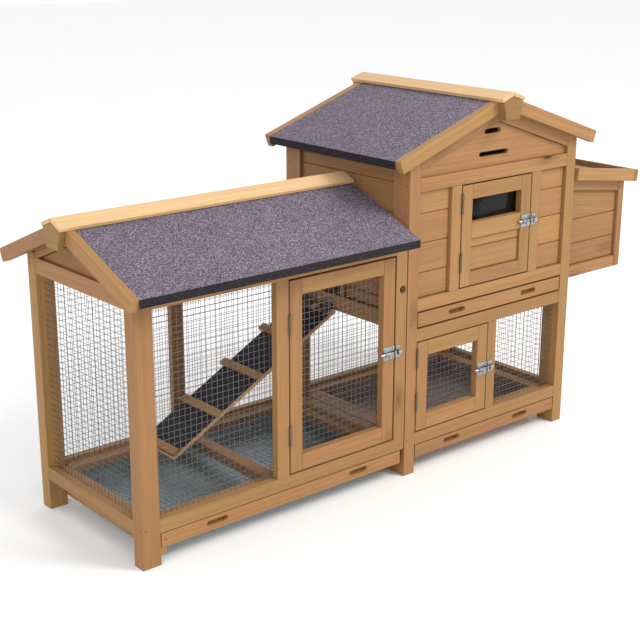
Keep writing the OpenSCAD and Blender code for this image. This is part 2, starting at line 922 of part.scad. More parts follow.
module lying_pin() {
    translate([0, hinge_h, 0]) rotate([90, 0, 0]) hinge_pin_shape();
}

module hinge_pin_shape() {
    translate([0, 0, -0.6]) cylinder(r = pin_r, h = hinge_h + 1.2);
    for (z = [-1.8, hinge_h + 0.6])
        translate([0, 0, z]) cylinder(r = knuckle_r - 0.2, h = 1.2);
}

// Lid hinges stand on the house posts, ramp hinges on the sill of the pop hole
module lid_hinge_places() {
    for (y = [5, house_depth - 5 - hinge_h])
        translate([lid_hinge_x, y, lid_z + 2]) children();
}

module ramp_hinge_places() {
    for (y = [ramp_y + 12, ramp_y + ramp_w - 12 - hinge_h])
        translate([ramp_pin[0], y, ramp_pin[2]]) children();
}

// Leaf on the house, with its plate between two distances from the pin
module lying_fixed_leaf(x0, x1, foot, top) {
    third = hinge_h / 3;
    for (y = [0, 2 * third])
        lying_knuckle(y + slit, third - 2 * slit)
            translate([min(x0, 0), 0]) square([max(x1, 0) - min(x0, 0), knuckle_r + 1]);
    board(x0, x1, 0, hinge_h, foot, top);
}

module fixed_hinge_leaves() {
    wall = lid_hinge_x - house_end - 0.05;
    face = house_x - ramp_pin[0] - 0.05;
    color(dark_steel) {
        run_door_hinges() fixed_leaf(door_gap, 15);
        house_door_hinges() fixed_leaf(door_gap, 15);
        lower_door_hinges() fixed_leaf(door_gap, 15);
        lid_hinge_places()
            lying_fixed_leaf(-wall, -wall + leaf_t, knuckle_r + slit, 22);
        ramp_hinge_places()
            lying_fixed_leaf(face - leaf_t, face, 0, 16);
    }
}

module hinge_pins() {
    color(dark_steel) {
        run_door_hinges() hinge_pin_shape();
        house_door_hinges() hinge_pin_shape();
        lower_door_hinges() hinge_pin_shape();
        lid_hinge_places() lying_pin();
        ramp_hinge_places() lying_pin();
    }
}

module run_door_hinge_leaves() {
    color(dark_steel) run_door_hinges() moving_leaf(door_gap, 15);
}

module house_door_hinge_leaves() {
    color(dark_steel) house_door_hinges() moving_leaf(door_gap, 15);
}

module lower_door_hinge_leaves() {
    color(dark_steel) lower_door_hinges() moving_leaf(door_gap, 15);
}

// Cranked leaves that reach down to the lid's boards, in the lid's frame, each
// plate narrow enough to lie inside the rim
module nest_lid_hinge_leaves() {
    third = hinge_h / 3;
    top = -1.95;
    plate = 0.05 - lid_sink;
    arm = knuckle_r + slit;
    inset = 3.4;
    color(dark_steel) lid_hinge_places() rotate([0, lid_pitch, 0]) {
        lying_knuckle(third + slit, third - 2 * slit)
            translate([0, top]) square([arm + leaf_t, leaf_t]);
        board(arm, arm + leaf_t, 0, hinge_h, plate, top + leaf_t);
        board(arm, 26, inset, hinge_h - inset, plate, plate + leaf_t);
    }
}

// Leaves screwed on top of the ramp's board, in the ramp's frame
module ramp_hinge_leaves() {
    third = hinge_h / 3;
    low = -4.5;
    color(dark_steel) ramp_hinge_places() rotate([0, -ramp_angle, 0]) {
        lying_knuckle(third + slit, third - 2 * slit)
            translate([-knuckle_r, low]) square([leaf_t, -low]);
        board(-22, -knuckle_r + leaf_t, 0, hinge_h, low, low + leaf_t);
    }
}

// Barrel bolts: the origin is on the door's closing edge, on its face
rod_y = -(leaf_t + rod_r + 0.9);

module at_bolt(d, z) {
    translate([d[1], 0, z]) children();
}

module bolt_strap(x, w, bore) {
    difference() {
        board(x, x + w, rod_y - rod_r - 1.6, -0.05, -rod_r - 2, rod_r + 2);
        translate([x - 1, rod_y, 0]) rotate([0, 90, 0]) cylinder(r = bore, h = w + 2);
    }
}

module bolt_barrel() {
    bolt_strap(-30, 3.5, rod_r + fit);
    bolt_strap(-4.5, 3.5, rod_r + fit);
    for (side = [-1, 1])
        board(-30.5, -0.5, -leaf_t - 0.05, -0.05, min(side * 14, side * (rod_r + 1.9)),
            max(side * 14, side * (rod_r + 1.9)));
    board(-27, -4, -leaf_t - 0.05, -0.05, -rod_r - 2, rod_r + 2);
}

module bolt_rod() {
    translate([-28 - bolt_travel, rod_y, 0]) rotate([0, 90, 0])
        cylinder(r = rod_r, h = 27 + bolt_travel);
    translate([-22, rod_y, 0]) rotate([125, 0, 0]) {
        cylinder(r = 2, h = 10);
        translate([0, 0, 10]) sphere(r = 3);
    }
}

module bolt_keeper() {
    bolt_strap(6, 9, rod_r + keeper_fit);
    for (side = [-1, 1])
        board(5, 17, -leaf_t - 0.05, -0.05, min(side * 13, side * (rod_r + 1.9)),
            max(side * 13, side * (rod_r + 1.9)));
}

module run_bolt_barrel() {
    color(steel) at_bolt(run_door, run_bolt_z) bolt_barrel();
}

module run_bolt_rod() {
    color(steel) at_bolt(run_door, run_bolt_z) bolt_rod();
}

module house_bolt_barrel() {
    color(steel) at_bolt(house_door, house_bolt_z) bolt_barrel();
}

module house_bolt_rod() {
    color(steel) at_bolt(house_door, house_bolt_z) bolt_rod();
}

module lower_bolt_barrel() {
    color(steel) at_bolt(lower_door, lower_bolt_z) bolt_barrel();
}

module lower_bolt_rod() {
    color(steel) at_bolt(lower_door, lower_bolt_z) bolt_rod();
}

module bolt_keepers() {
    color(steel) {
        at_bolt(run_door, run_bolt_z) bolt_keeper();
        at_bolt(house_door, house_bolt_z) bolt_keeper();
        at_bolt(lower_door, lower_bolt_z) bolt_keeper();
    }
}

// Screws that hold the run to the house, their heads in pockets in the run's posts
module at_joining_screws() {
    for (y = [12, run_depth - 12]) translate([run_len - 11, y, joining_z])
        children();
}

module joining_screw(start, clearance) {
    translate([start, 0, 0]) rotate([0, 90, 0])
        cylinder(r = 2.5 + clearance, h = 36 - start);
}

module joining_bolts() {
    color(steel) at_joining_screws() {
        joining_screw(7, 0);
        translate([3.5, 0, 0]) rotate([0, 90, 0]) cylinder(r = 4.5, h = 4);
    }
}

// ---------- the hutch ----------

placed() run_front_frame();
placed() run_back_frame();
placed() run_end_frame();
placed() run_end_gable();
placed() run_floor_frame();
placed() floor_mesh();
placed() run_front_mesh();
placed() run_back_mesh();
placed() run_end_mesh();
placed() run_door_frame();
placed() run_door_mesh();
placed() run_roof_decks();
placed() run_roof_felt();
placed() run_barge_boards();
placed() run_ridge_cap();
placed() run_tray_front();
placed() run_tray_pan();
placed() ramp_board();
placed() ramp_felt();
placed() ramp_rungs();
placed() house_posts();
placed() house_front_frame();
placed() house_side_rails();
placed() house_front_siding();
placed() house_front_gable();
placed() house_left_wall();
placed() house_right_wall();
placed() house_back_wall();
placed() house_door_frame();
placed() house_door_panel();
placed() house_door_pane();
placed() house_tray_front();
placed() house_tray_pan();
placed() lower_door_frame();
placed() lower_door_mesh();
placed() lower_wall_mesh();
placed() lower_tray_front();
placed() lower_tray_pan();
placed() house_roof_decks();
placed() house_roof_felt();
placed() house_barge_boards();
placed() house_ridge_cap();
placed() nest_box_walls();
placed() nest_box_floor();
placed() nest_lid();
placed() fixed_hinge_leaves();
placed() hinge_pins();
placed() run_door_hinge_leaves();
placed() house_door_hinge_leaves();
placed() lower_door_hinge_leaves();
placed() nest_lid_hinge_leaves();
placed() ramp_hinge_leaves();
placed() run_bolt_barrel();
placed() run_bolt_rod();
placed() house_bolt_barrel();
placed() house_bolt_rod();
placed() lower_bolt_barrel();
placed() lower_bolt_rod();
placed() bolt_keepers();
placed() joining_bolts();
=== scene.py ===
"""The looks of a two-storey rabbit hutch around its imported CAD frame."""

import json
import math
import random

import bmesh
import bpy
from mathutils import Matrix, Vector

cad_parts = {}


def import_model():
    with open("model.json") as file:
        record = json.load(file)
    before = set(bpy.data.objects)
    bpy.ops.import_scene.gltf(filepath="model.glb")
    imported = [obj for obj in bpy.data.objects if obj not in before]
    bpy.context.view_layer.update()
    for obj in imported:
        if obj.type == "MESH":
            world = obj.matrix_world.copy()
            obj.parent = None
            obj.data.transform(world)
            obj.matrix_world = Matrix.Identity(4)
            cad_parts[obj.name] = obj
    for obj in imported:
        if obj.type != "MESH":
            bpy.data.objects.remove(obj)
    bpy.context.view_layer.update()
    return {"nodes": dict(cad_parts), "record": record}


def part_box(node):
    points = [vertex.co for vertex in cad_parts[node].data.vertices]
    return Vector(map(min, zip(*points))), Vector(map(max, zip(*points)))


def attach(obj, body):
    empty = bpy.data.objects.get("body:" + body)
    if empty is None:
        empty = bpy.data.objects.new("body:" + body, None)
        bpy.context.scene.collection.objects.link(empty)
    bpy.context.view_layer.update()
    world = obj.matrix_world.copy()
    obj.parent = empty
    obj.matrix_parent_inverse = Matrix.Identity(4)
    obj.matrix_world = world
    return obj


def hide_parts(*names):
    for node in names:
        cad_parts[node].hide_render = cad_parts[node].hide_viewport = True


MM = 0.001
SEED = 641

# Camera: place, direction in degrees and lens in millimetres
CAMERA_AT = Vector((-1.8549, -2.0759, 1.1788))
CAMERA_YAW = 40.30
CAMERA_PITCH = -17.38
CAMERA_ROLL = 0.11
CAMERA_LENS = 73.2

# Welded mesh: spacing and radius of the wires, and how far they enter the frame
MESH_PITCH = 12.7 * MM
WIRE_R = 0.48 * MM
WIRE_TUCK = 1.2 * MM

# Staples that hold the mesh, and their distance from the edge of the opening
STAPLE_STEP = 76 * MM
STAPLE_WIDE = 9 * MM
STAPLE_R = 0.5 * MM
STAPLE_INSET = 2.4 * MM

# Thickness of the plates of hinges and bolts, and the heads that hold them
PLATE_T = 1.2 * MM
SCREW_R = 1.7 * MM
NAIL_R = 2.3 * MM
NAIL_SUNK = 0.42 * NAIL_R

# Where the screws sit: from the middle of a bolt's plate and of its keeper, from
# the ends of the plate, and from one another on a leaf of the lid's hinges
BOLT_SCREW_RISE = 10.3 * MM
BOLT_SCREW_INSET = 5 * MM
KEEPER_SCREW_RISE = 9.4 * MM
LEAF_SCREW_STEP = 13 * MM

# Smallest area of a face that counts as the plate of a leaf
LEAF_AREA = 500 * MM * MM

# Where the nails sit on a tray's front, and how closely rails meet their posts
TRAY_NAIL_INSET = 10 * MM
CONTACT = 2 * MM
NAILED_WIDTH = 8 * MM

# Brightness of the cut edges of the felt, as a share of its face: dark cut and painted shade
CUT_EDGE_AND_PAINTED_SHADE = 0.11

# Painted shade on the short blocks at the ends of the ridges: their brightness as a
# share of the ridge boards, and how long a block can be
SHORT_BLOCK_PAINTED_SHADE = 0.42
SHORT_BLOCK = 150 * MM

# How round the edges of each kind of piece are
CLADDING_EDGE = 3.4 * MM
FRAME_EDGE = 1.1 * MM
METAL_EDGE = 0.25 * MM
PAN_EDGE = 0.3 * MM
FELT_EDGE = 1.0 * MM

# Angle from which an edge counts as sharp and is rounded, in degrees
SHARP_ANGLE = 28

# Angle up to which a piece, and a screw or nail head, is shaded smoothly
PIECE_SMOOTH = 40
HEAD_SMOOTH = 50

# Nodes that are treated in their own way
RIDGE_CAPS = ("run_ridge_cap", "house_ridge_cap")
# The lower tray's pan takes a darker, browner copy of the tray sheet: painted shade with a
# painted reflection of the brown floor above it
PAINTED_SHADE_FINISH = {"lower_tray_pan": "tray_sheet_painted_shade"}
CLADDING = (
    "house_front_siding", "house_front_gable", "house_left_wall",
    "house_right_wall", "house_back_wall", "house_door_panel", "nest_box_walls",
)


# ---------- node graphs ----------

class Graph:
    """Short names for building a material's nodes."""

    def __init__(self, name):
        self.material = bpy.data.materials.new(name)
        self.material.use_nodes = True
        self.tree = self.material.node_tree
        self.shader = self.tree.nodes["Principled BSDF"]

    def node(self, kind, inputs=None, **settings):
        made = self.tree.nodes.new(kind)
        for key, value in settings.items():
            setattr(made, key, value)
        for key, value in (inputs or {}).items():
            self.feed(made.inputs[key], value)
        return made

    def feed(self, socket, value):
        if isinstance(value, bpy.types.NodeSocket):
            self.tree.links.new(value, socket)
        else:
            socket.default_value = value

    def math(self, operation, a, b=0.0, clamp=False):
        made = self.node("ShaderNodeMath", {0: a, 1: b}, operation=operation)
        made.use_clamp = clamp
        return made.outputs[0]

    def scaled(self, vector, scale, shift=None):
        made = self.node("ShaderNodeVectorMath", {0: vector, 1: scale}, operation="MULTIPLY")
        if shift is None:
            return made.outputs[0]
        return self.node(
            "ShaderNodeVectorMath", {0: made.outputs[0], 1: shift}, operation="ADD"
        ).outputs[0]

    def noise(self, vector, scale, detail=2.0, roughness=0.5):
        return self.node(
            "ShaderNodeTexNoise",
            {"Vector": vector, "Scale": scale, "Detail": detail, "Roughness": roughness},
        ).outputs["Fac"]

    def remap(self, value, low, high, new_low=0.0, new_high=1.0):
        return self.node(
            "ShaderNodeMapRange",
            {"Value": value, "From Min": low, "From Max": high,
             "To Min": new_low, "To Max": new_high},
        ).outputs["Result"]

    def mix(self, factor, a, b, blend="MIX"):
        made = self.node("ShaderNodeMix", data_type="RGBA", blend_type=blend)
        self.feed(made.inputs["Factor"], factor)
        self.feed(made.inputs["A"], a)
        self.feed(made.inputs["B"], b)
        return made.outputs["Result"]

    def ramp(self, value, stops, constant=False):
        made = self.node("ShaderNodeValToRGB", {"Fac": value})
        band = made.color_ramp
        if constant:
            band.interpolation = "CONSTANT"
        while len(band.elements) < len(stops):
            band.elements.new(0.5)
        for element, (place, colour) in zip(band.elements, stops):
            element.position = place
            element.color = colour
        return made.outputs["Color"]

    def bump(self, height, distance, strength):
        made = self.node(
            "ShaderNodeBump", {"Height": height, "Distance": distance, "Strength": strength}
        )
        self.feed(self.shader.inputs["Normal"], made.outputs["Normal"])

    def set(self, **values):
        for key, value in values.items():
            self.feed(self.shader.inputs[key.replace("_", " ")], value)


def colour(red, green, blue):
    """A display colour, 0 to 255, as linear light."""
    def linear(value):
        value /= 255
        return value / 12.92 if value <= 0.04045 else ((value + 0.055) / 1.055) ** 2.4

    return (linear(red), linear(green), linear(blue), 1.0)


# ---------- materials ----------

def wood_material(name, pale, dark, knot):
    """Stained softwood whose grain follows each board's own grain coordinate."""
    g = Graph(name)
    grain = g.node("ShaderNodeAttribute", attribute_name="grain").outputs["Vector"]
    tone = g.node("ShaderNodeAttribute", attribute_name="tone").outputs["Fac"]
    painted_block_shade = g.node("ShaderNodeAttribute", attribute_name="painted_block_shade").outputs["Fac"]
    offset = g.node(
        "ShaderNodeCombineXYZ",
        {"X": g.math("MULTIPLY", tone, 31.0), "Y": g.math("MULTIPLY", tone, 17.0),
         "Z": g.math("MULTIPLY", tone, 23.0)},
    ).outputs[0]

    def stretched(along, across, detail, roughness):
        return g.noise(g.scaled(grain, (along, across, across), offset), 1.0, detail, roughness)

    wander = stretched(2.2, 16.0, 2.0, 0.5)
    parts = g.node("ShaderNodeSeparateXYZ", {"Vector": grain})
    across = g.math("ADD", parts.outputs["Y"], g.math("MULTIPLY", wander, 0.010))
    deep = g.math("ADD", parts.outputs["Z"], g.math("MULTIPLY", wander, 0.006))
    radius = g.math(
        "SQRT",
        g.math("ADD", g.math("MULTIPLY", across, across), g.math("MULTIPLY", deep, deep)),
    )
    phase = g.math("MULTIPLY", g.math("ADD", radius, g.math("MULTIPLY", wander, 0.012)), 1150.0)
    rings = g.math("POWER", g.remap(g.math("SINE", phase), -1.0, 1.0), 2.5)
    streaks = stretched(3.0, 95.0, 5.0, 0.62)
    pores = stretched(18.0, 900.0, 1.0, 0.5)
    figure = g.math(
        "ADD",
        g.math("MULTIPLY", rings, 0.20),
        g.math("MULTIPLY", g.remap(streaks, 0.25, 0.75), 0.42),
        clamp=True,
    )
    figure = g.math("ADD", figure, g.remap(pores, 0.3, 0.7, -0.06, 0.12), clamp=True)
    base = g.mix(figure, pale, dark)

    cells = g.node(
        "ShaderNodeTexVoronoi",
        {"Vector": g.scaled(grain, (4.0, 10.0, 10.0), offset), "Scale": 1.0},
    )
    chosen = g.math("GREATER_THAN", g.node(
        "ShaderNodeSeparateColor", {"Color": cells.outputs["Color"]}).outputs[0], 0.62)
    spot = g.remap(cells.outputs["Distance"], 0.045, 0.085, 1.0, 0.0)
    halo = g.remap(cells.outputs["Distance"], 0.08, 0.20, 0.35, 0.0)
    mark = g.math("MULTIPLY", g.math("MAXIMUM", spot, halo), chosen)
    base = g.mix(mark, base, knot)

    patch = stretched(1.5, 9.0, 1.0, 0.5)
    value = g.math(
        "ADD",
        g.remap(tone, 0.0, 1.0, 0.90, 1.10),
        g.remap(patch, 0.3, 0.7, -0.06, 0.06),
    )
    # Painted shade: the short blocks at the ends of the ridges are darker and more saturated
    value = g.math("MULTIPLY", value, g.remap(painted_block_shade, 0.0, 1.0, 1.0, SHORT_BLOCK_PAINTED_SHADE))
    shifted = g.node(
        "ShaderNodeHueSaturation",
        {"Hue": g.remap(g.math("FRACT", g.math("MULTIPLY", tone, 7.0)), 0.0, 1.0, 0.494, 0.506),
         "Saturation": g.remap(painted_block_shade, 0.0, 1.0, 1.0, 1.2), "Value": value, "Color": base},
    ).outputs["Color"]
    g.set(Base_Color=shifted, Roughness=g.remap(streaks, 0.3, 0.7, 0.46, 0.62))
    g.shader.inputs["Specular IOR Level"].default_value = 0.3
    g.bump(g.math("ADD", g.math("MULTIPLY", rings, 0.5), pores), 0.25 * MM, 0.35)
    return g.material


def granule_material(name, stops, grains, depth):
    """Bitumen felt: tightly packed mineral grains of a few colours."""
    g = Graph(name)
    place = g.node("ShaderNodeTexCoord").outputs["Object"]
    cells = g.node("ShaderNodeTexVoronoi", {"Vector": place, "Scale": grains})
    pick = g.node("ShaderNodeSeparateColor", {"Color": cells.outputs["Color"]}).outputs[0]
    speck = g.ramp(pick, stops, constant=True)
    clouds = g.noise(place, 26.0, 3.0, 0.6)
    fine = g.noise(place, grains * 0.35, 2.0, 0.6)
    normal = g.node("ShaderNodeNewGeometry").outputs["True Normal"]
    upward = g.node("ShaderNodeSeparateXYZ", {"Vector": normal}).outputs["Z"]
    shade = g.math(
        "ADD", g.remap(clouds, 0.3, 0.7, 0.93, 1.07), g.remap(fine, 0.3, 0.7, -0.08, 0.08)
    )
    # Painted shade, with the dark of the cut edges: the felt's steep faces are darker than its
    # top
    shade = g.math("MULTIPLY", shade, g.remap(upward, 0.25, 0.60, CUT_EDGE_AND_PAINTED_SHADE, 1.0))
    mixed = g.node(
        "ShaderNodeHueSaturation",
        {"Hue": 0.5, "Saturation": 1.0, "Value": shade, "Color": speck},
    ).outputs["Color"]
    g.set(Base_Color=mixed, Roughness=g.remap(fine, 0.3, 0.7, 0.82, 0.96))
    g.shader.inputs["Specular IOR Level"].default_value = 0.3
    g.bump(g.remap(cells.outputs["Distance"], 0.0, 0.7, 1.0, 0.0), depth, 0.8)
    return g.material


def metal_material(name, tint, rough, blotch, metallic=1.0):
    """Zinc or coated steel with slight clouding and fine scratches."""
    g = Graph(name)
    place = g.node("ShaderNodeTexCoord").outputs["Object"]
    clouds = g.noise(place, blotch, 3.0, 0.6)
    scratches = g.noise(g.scaled(place, (90.0, 900.0, 900.0)), 1.0, 2.0, 0.5)
    dark = tuple(part * 0.78 for part in tint[:3]) + (1.0,)
    g.set(
        Base_Color=g.mix(g.remap(clouds, 0.35, 0.65), dark, tint),
        Roughness=g.math(
            "ADD", g.remap(clouds, 0.3, 0.7, rough - 0.07, rough + 0.08),
            g.remap(scratches, 0.3, 0.7, -0.03, 0.05),
        ),
        Metallic=metallic,
    )
    g.bump(scratches, 0.05 * MM, 0.2)
    return g.material


def pane_material():
    """Clear acrylic with faint smears."""
    g = Graph("clear_pane")
    place = g.node("ShaderNodeTexCoord").outputs["Object"]
    smears = g.noise(g.scaled(place, (14.0, 14.0, 40.0)), 1.0, 3.0, 0.6)
    g.set(
        Base_Color=g.mix(smears, (0.28, 0.42, 0.31, 1), (0.44, 0.58, 0.46, 1)),
        Roughness=g.remap(smears, 0.3, 0.7, 0.02, 0.12), IOR=1.22)
    g.shader.inputs["Transmission Weight"].default_value = 1.0
    g.bump(smears, 0.02 * MM, 0.1)
    return g.material


def floor_material():
    """A pale, matt studio floor."""
    g = Graph("studio_floor")
    place = g.node("ShaderNodeTexCoord").outputs["Object"]
    clouds = g.noise(place, 3.0, 2.0, 0.5)
    g.set(Base_Color=g.mix(clouds, (0.88, 0.88, 0.88, 1), (0.91, 0.91, 0.905, 1)), Roughness=0.7)
    return g.material


def make_materials():
    """Every material by name: one for each slot, and a few for smaller parts."""
    felt_stops = [
        (0.0, colour(66, 59, 68)), (0.26, colour(94, 85, 98)),
        (0.62, colour(118, 107, 121)), (0.90, colour(150, 140, 153)),
    ]
    ramp_stops = [
        (0.0, colour(24, 24, 27)), (0.35, colour(38, 38, 43)),
        (0.80, colour(56, 56, 62)), (0.95, colour(84, 84, 90)),
    ]
    return {
        "stained_fir": wood_material(
            "stained_fir", colour(157, 117, 72), colour(127, 86, 46), colour(72, 42, 20)),
        "pale_fir": wood_material(
            "pale_fir", colour(207, 173, 128), colour(178, 138, 92), colour(104, 66, 36)),
        "mineral_felt": granule_material("mineral_felt", felt_stops, 620.0, 0.4 * MM),
        "ramp_felt": granule_material("ramp_felt", ramp_stops, 700.0, 0.4 * MM),
        "welded_wire": metal_material("welded_wire", (0.20, 0.195, 0.20, 1), 0.50, 60.0),
        "zinc_hardware": metal_material("zinc_hardware", (0.40, 0.41, 0.43, 1), 0.34, 120.0),
        # Painted shade with a painted reflection of the wood: the hinges' steel is darkened and
        # browned
        "dark_hinge_steel": metal_material(
            "dark_hinge_steel", (0.17, 0.135, 0.09, 1), 0.50, 140.0, 0.7),
        "clear_pane": pane_material(),
        "tray_sheet": metal_material("tray_sheet", colour(156, 174, 180), 0.42, 9.0, 0.25),
        # Painted shade with a painted reflection of the brown floor above, for the lower pan
        "tray_sheet_painted_shade": metal_material(
            "tray_sheet_painted_shade", colour(158, 140, 130), 0.55, 9.0, 0.1),
        "nail_head": metal_material("nail_head", (0.13, 0.09, 0.06, 1), 0.6, 200.0, 0.4),
        # Painted shade: near-black crosses that stand for the recesses of screw heads
        "painted_recess_shade": metal_material("painted_recess_shade", (0.10, 0.10, 0.11, 1), 0.5, 200.0, 0.6),
    }


# ---------- mesh helpers ----------

def welded_copy(node):
    """The CAD node's mesh with its corners joined and its flat faces merged."""
    bm = bmesh.new()
    bm.from_mesh(node.data)
    bmesh.ops.remove_doubles(bm, verts=bm.verts, dist=0.01 * MM)
    bmesh.ops.dissolve_limit(
        bm, angle_limit=math.radians(1.0), verts=bm.verts, edges=bm.edges)
    return bm


def islands(bm):
    """The separate solids of a mesh, each as a list of corners."""
    left = set(bm.verts)
    found = []
    for start in bm.verts:
        if start not in left:
            continue
        left.discard(start)
        group, todo = [start], [start]
        while todo:
            here = todo.pop()
            for edge in here.link_edges:
                other = edge.other_vert(here)
                if other in left:
                    left.discard(other)
                    group.append(other)
                    todo.append(other)
        found.append(group)
    return found


def extent(group):
    """The lowest and highest corners of a group of corners."""
    low = Vector(min(v.co[i] for v in group) for i in range(3))
    high = Vector(max(v.co[i] for v in group) for i in range(3))
    return low, high


def solids(node):
    """The lowest and highest corners of each solid of a node."""
    bm = welded_copy(node)
    found = [extent(group) for group in islands(bm)]
    bm.free()
    return found


def board_axes(group):
    """A board's directions: along its longest edge, across it, and through it."""
    edges = {e for v in group for e in v.link_edges}
    faces = {f for v in group for f in v.link_faces}
    longest = max(edges, key=lambda e: (round(e.calc_length(), 5), e.index))
    along = (longest.verts[1].co - longest.verts[0].co).normalized()
    widest = max(faces, key=lambda f: (round(f.calc_area(), 8), f.index))
    through = widest.normal - along * widest.normal.dot(along)
    if through.length < 0.2:
        through = along.orthogonal()
    through.normalize()
    return along, through.cross(along), through


def add_object(name, bm):
    """A scene object made from a mesh, which is used up."""
    mesh = bpy.data.meshes.new(name)
    bm.to_mesh(mesh)
    bm.free()
    made = bpy.data.objects.new(name, mesh)
    bpy.context.scene.collection.objects.link(made)
    return made


def finish_piece(piece, body, slot, material, *replaced):
    """Gives a piece its material and body, and hides the nodes it stands for. The slot is not
    used.
    """
    piece.data.materials.append(material)
    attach(piece, body)
    if replaced:
        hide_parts(*replaced)


def round_edges(bm, width, segments):
    """Rounds every sharp edge of a mesh."""
    sharp = [e for e in bm.edges
             if len(e.link_faces) == 2
             and e.calc_face_angle(0.0) > math.radians(SHARP_ANGLE)]
    bmesh.ops.bevel(
        bm, geom=sharp, offset=width, offset_type="OFFSET", segments=segments,
        profile=0.5, affect="EDGES", clamp_overlap=True)


def smooth_shading(piece, angle=PIECE_SMOOTH):
    """Smooth shading, except across edges sharper than the angle."""
    for polygon in piece.data.polygons:
        polygon.use_smooth = True
    piece.data.set_sharp_from_angle(angle=math.radians(angle))


# ---------- pieces ----------

def boards(node, edge, rng):
    """Every board of a node, with worn edges and its own run of grain."""
    bm = welded_copy(node)
    for parts in (bm.verts, bm.edges, bm.faces):
        parts.index_update()
    grain = bm.verts.layers.float_vector.new("grain")
    tone = bm.verts.layers.float.new("tone")
    painted_block_shade = bm.verts.layers.float.new("painted_block_shade")
    frames = []
    for group in islands(bm):
        centre = sum((v.co for v in group), Vector()) / len(group)
        frames.append((centre, board_axes(group)))
    round_edges(bm, edge, 2)
    for group, (_, axes) in zip(islands(bm), match_frames(bm, frames)):
        paint_grain(group, axes, grain, tone, rng)
        low, high = extent(group)
        # The short blocks at the ends of a ridge are marked for painted shade
        short = node.name in RIDGE_CAPS and max(high - low) < SHORT_BLOCK
        for v in group:
            v[painted_block_shade] = 1.0 if short else 0.0
    return add_object("boards_" + node.name, bm)


def match_frames(bm, frames):
    """For each solid of the bevelled mesh, the frame of the board it came from."""
    for group in islands(bm):
        low, high = extent(group)
        middle = (low + high) / 2
        yield min(frames, key=lambda f: (f[0] - middle).length)


def paint_grain(group, axes, grain, tone, rng):
    """Stores, for each corner of a board, its place in the wood and the board's tone."""
    along, across, through = axes
    centre = sum((v.co for v in group), Vector()) / len(group)
    shade = rng.random()
    sideways = rng.uniform(-0.05, 0.05)
    depth = rng.uniform(0.015, 0.07)
    start = rng.uniform(-3, 3)
    for v in group:
        local = v.co - centre
        v[grain] = Vector((
            local.dot(along) + start, local.dot(across) + sideways,
            local.dot(through) + depth))
        v[tone] = shade


def rounded_piece(node, prefix, edge, segments=2):
    """A node's own shape with small round edges."""
    bm = welded_copy(node)
    round_edges(bm, edge, segments)
    piece = add_object(prefix + node.name, bm)
    smooth_shading(piece)
    return piece


def add_tube(bm, start, end, radius, sides=8):
    """A straight closed wire between two points."""
    line = end - start
    turn = line.to_track_quat("Z", "Y").to_matrix().to_4x4()
    place = Matrix.Translation((start + end) / 2) @ turn
    bmesh.ops.create_cone(
        bm, cap_ends=True, segments=sides, radius1=radius, radius2=radius,
        depth=line.length, matrix=place)


def wire_panel(bm, low, high):
    """Welded mesh that fills one CAD grid, its ends tucked into the frame."""
    size = high - low
    thin = min(range(3), key=lambda i: size[i])
    flat = [i for i in range(3) if i != thin]
    middle = (low[thin] + high[thin]) / 2
    for layer, (run, step) in enumerate((flat, flat[::-1])):
        count = max(1, round(size[step] / MESH_PITCH))
        gap = size[step] / count
        level = middle + (layer - 0.5) * 1.7 * WIRE_R
        for i in range(1, count):
            start, end = Vector(), Vector()
            start[run] = low[run] - WIRE_TUCK
            end[run] = high[run] + WIRE_TUCK
            start[step] = end[step] = low[step] + i * gap
            start[thin] = end[thin] = level
            add_tube(bm, start, end, WIRE_R)


def add_staple(bm, place, along, inward):
    """A flat-topped staple over a wire, its legs driven towards the frame."""
    half = along * STAPLE_WIDE / 2
    top = place + inward * (2.2 * WIRE_R + STAPLE_R)
    foot = inward * -(4.4 * WIRE_R)
    add_tube(bm, top - half, top + half, STAPLE_R, 6)
    for end in (top - half, top + half):
        add_tube(bm, end + inward * STAPLE_R, end + foot, STAPLE_R, 6)


def panel_staples(bm, low, high, all_sides):
    """Staples along the level edges of a mesh panel, and up its sides on a door."""
    size = high - low
    thin = min(range(3), key=lambda i: size[i])
    if thin == 2:
        return
    flat = 1 - thin
    middle = (low + high) / 2
    inward = Vector()
    inward[thin] = 1.0 if all_sides or middle[thin] < 0 else -1.0
    for run, step in ((flat, 2), (2, flat))[:2 if all_sides else 1]:
        count = max(2, round(size[run] / STAPLE_STEP))
        along = Vector()
        along[run] = 1.0
        for i in range(count):
            for level in (low[step] + STAPLE_INSET, high[step] - STAPLE_INSET):
                place = middle.copy()
                place[run] = low[run] + (i + 0.5) * size[run] / count
                place[step] = level
                add_staple(bm, place, along, inward)


def welded_mesh(node):
    """Wires and staples in place of each grid of a CAD node."""
    bm = bmesh.new()
    for low, high in solids(node):
        wire_panel(bm, low, high)
        panel_staples(bm, low, high, node.name.endswith("door_mesh"))
    piece = add_object("wires_" + node.name, bm)
    smooth_shading(piece)
    return piece


def screw(bm, place, normal, radius):
    """The domed head of a screw or nail."""
    turn = normal.to_track_quat("Z", "Y").to_matrix().to_4x4()
    rings = [(1.0, 0.0), (1.0, 0.22), (0.86, 0.42), (0.55, 0.56), (0.0, 0.62)]
    sides = 16
    loops = []
    for share, lift in rings[:-1]:
        loops.append([
            bm.verts.new(place + turn @ Vector((
                radius * share * math.cos(2 * math.pi * k / sides),
                radius * share * math.sin(2 * math.pi * k / sides),
                radius * lift)))
            for k in range(sides)])
    for lower, upper in zip(loops, loops[1:]):
        for k in range(sides):
            bm.faces.new((lower[k], lower[(k + 1) % sides], upper[(k + 1) % sides], upper[k]))
    tip = bm.verts.new(place + turn @ Vector((0, 0, radius * rings[-1][1])))
    for k in range(sides):
        bm.faces.new((loops[-1][k], loops[-1][(k + 1) % sides], tip))
    bm.faces.new(loops[0][::-1])


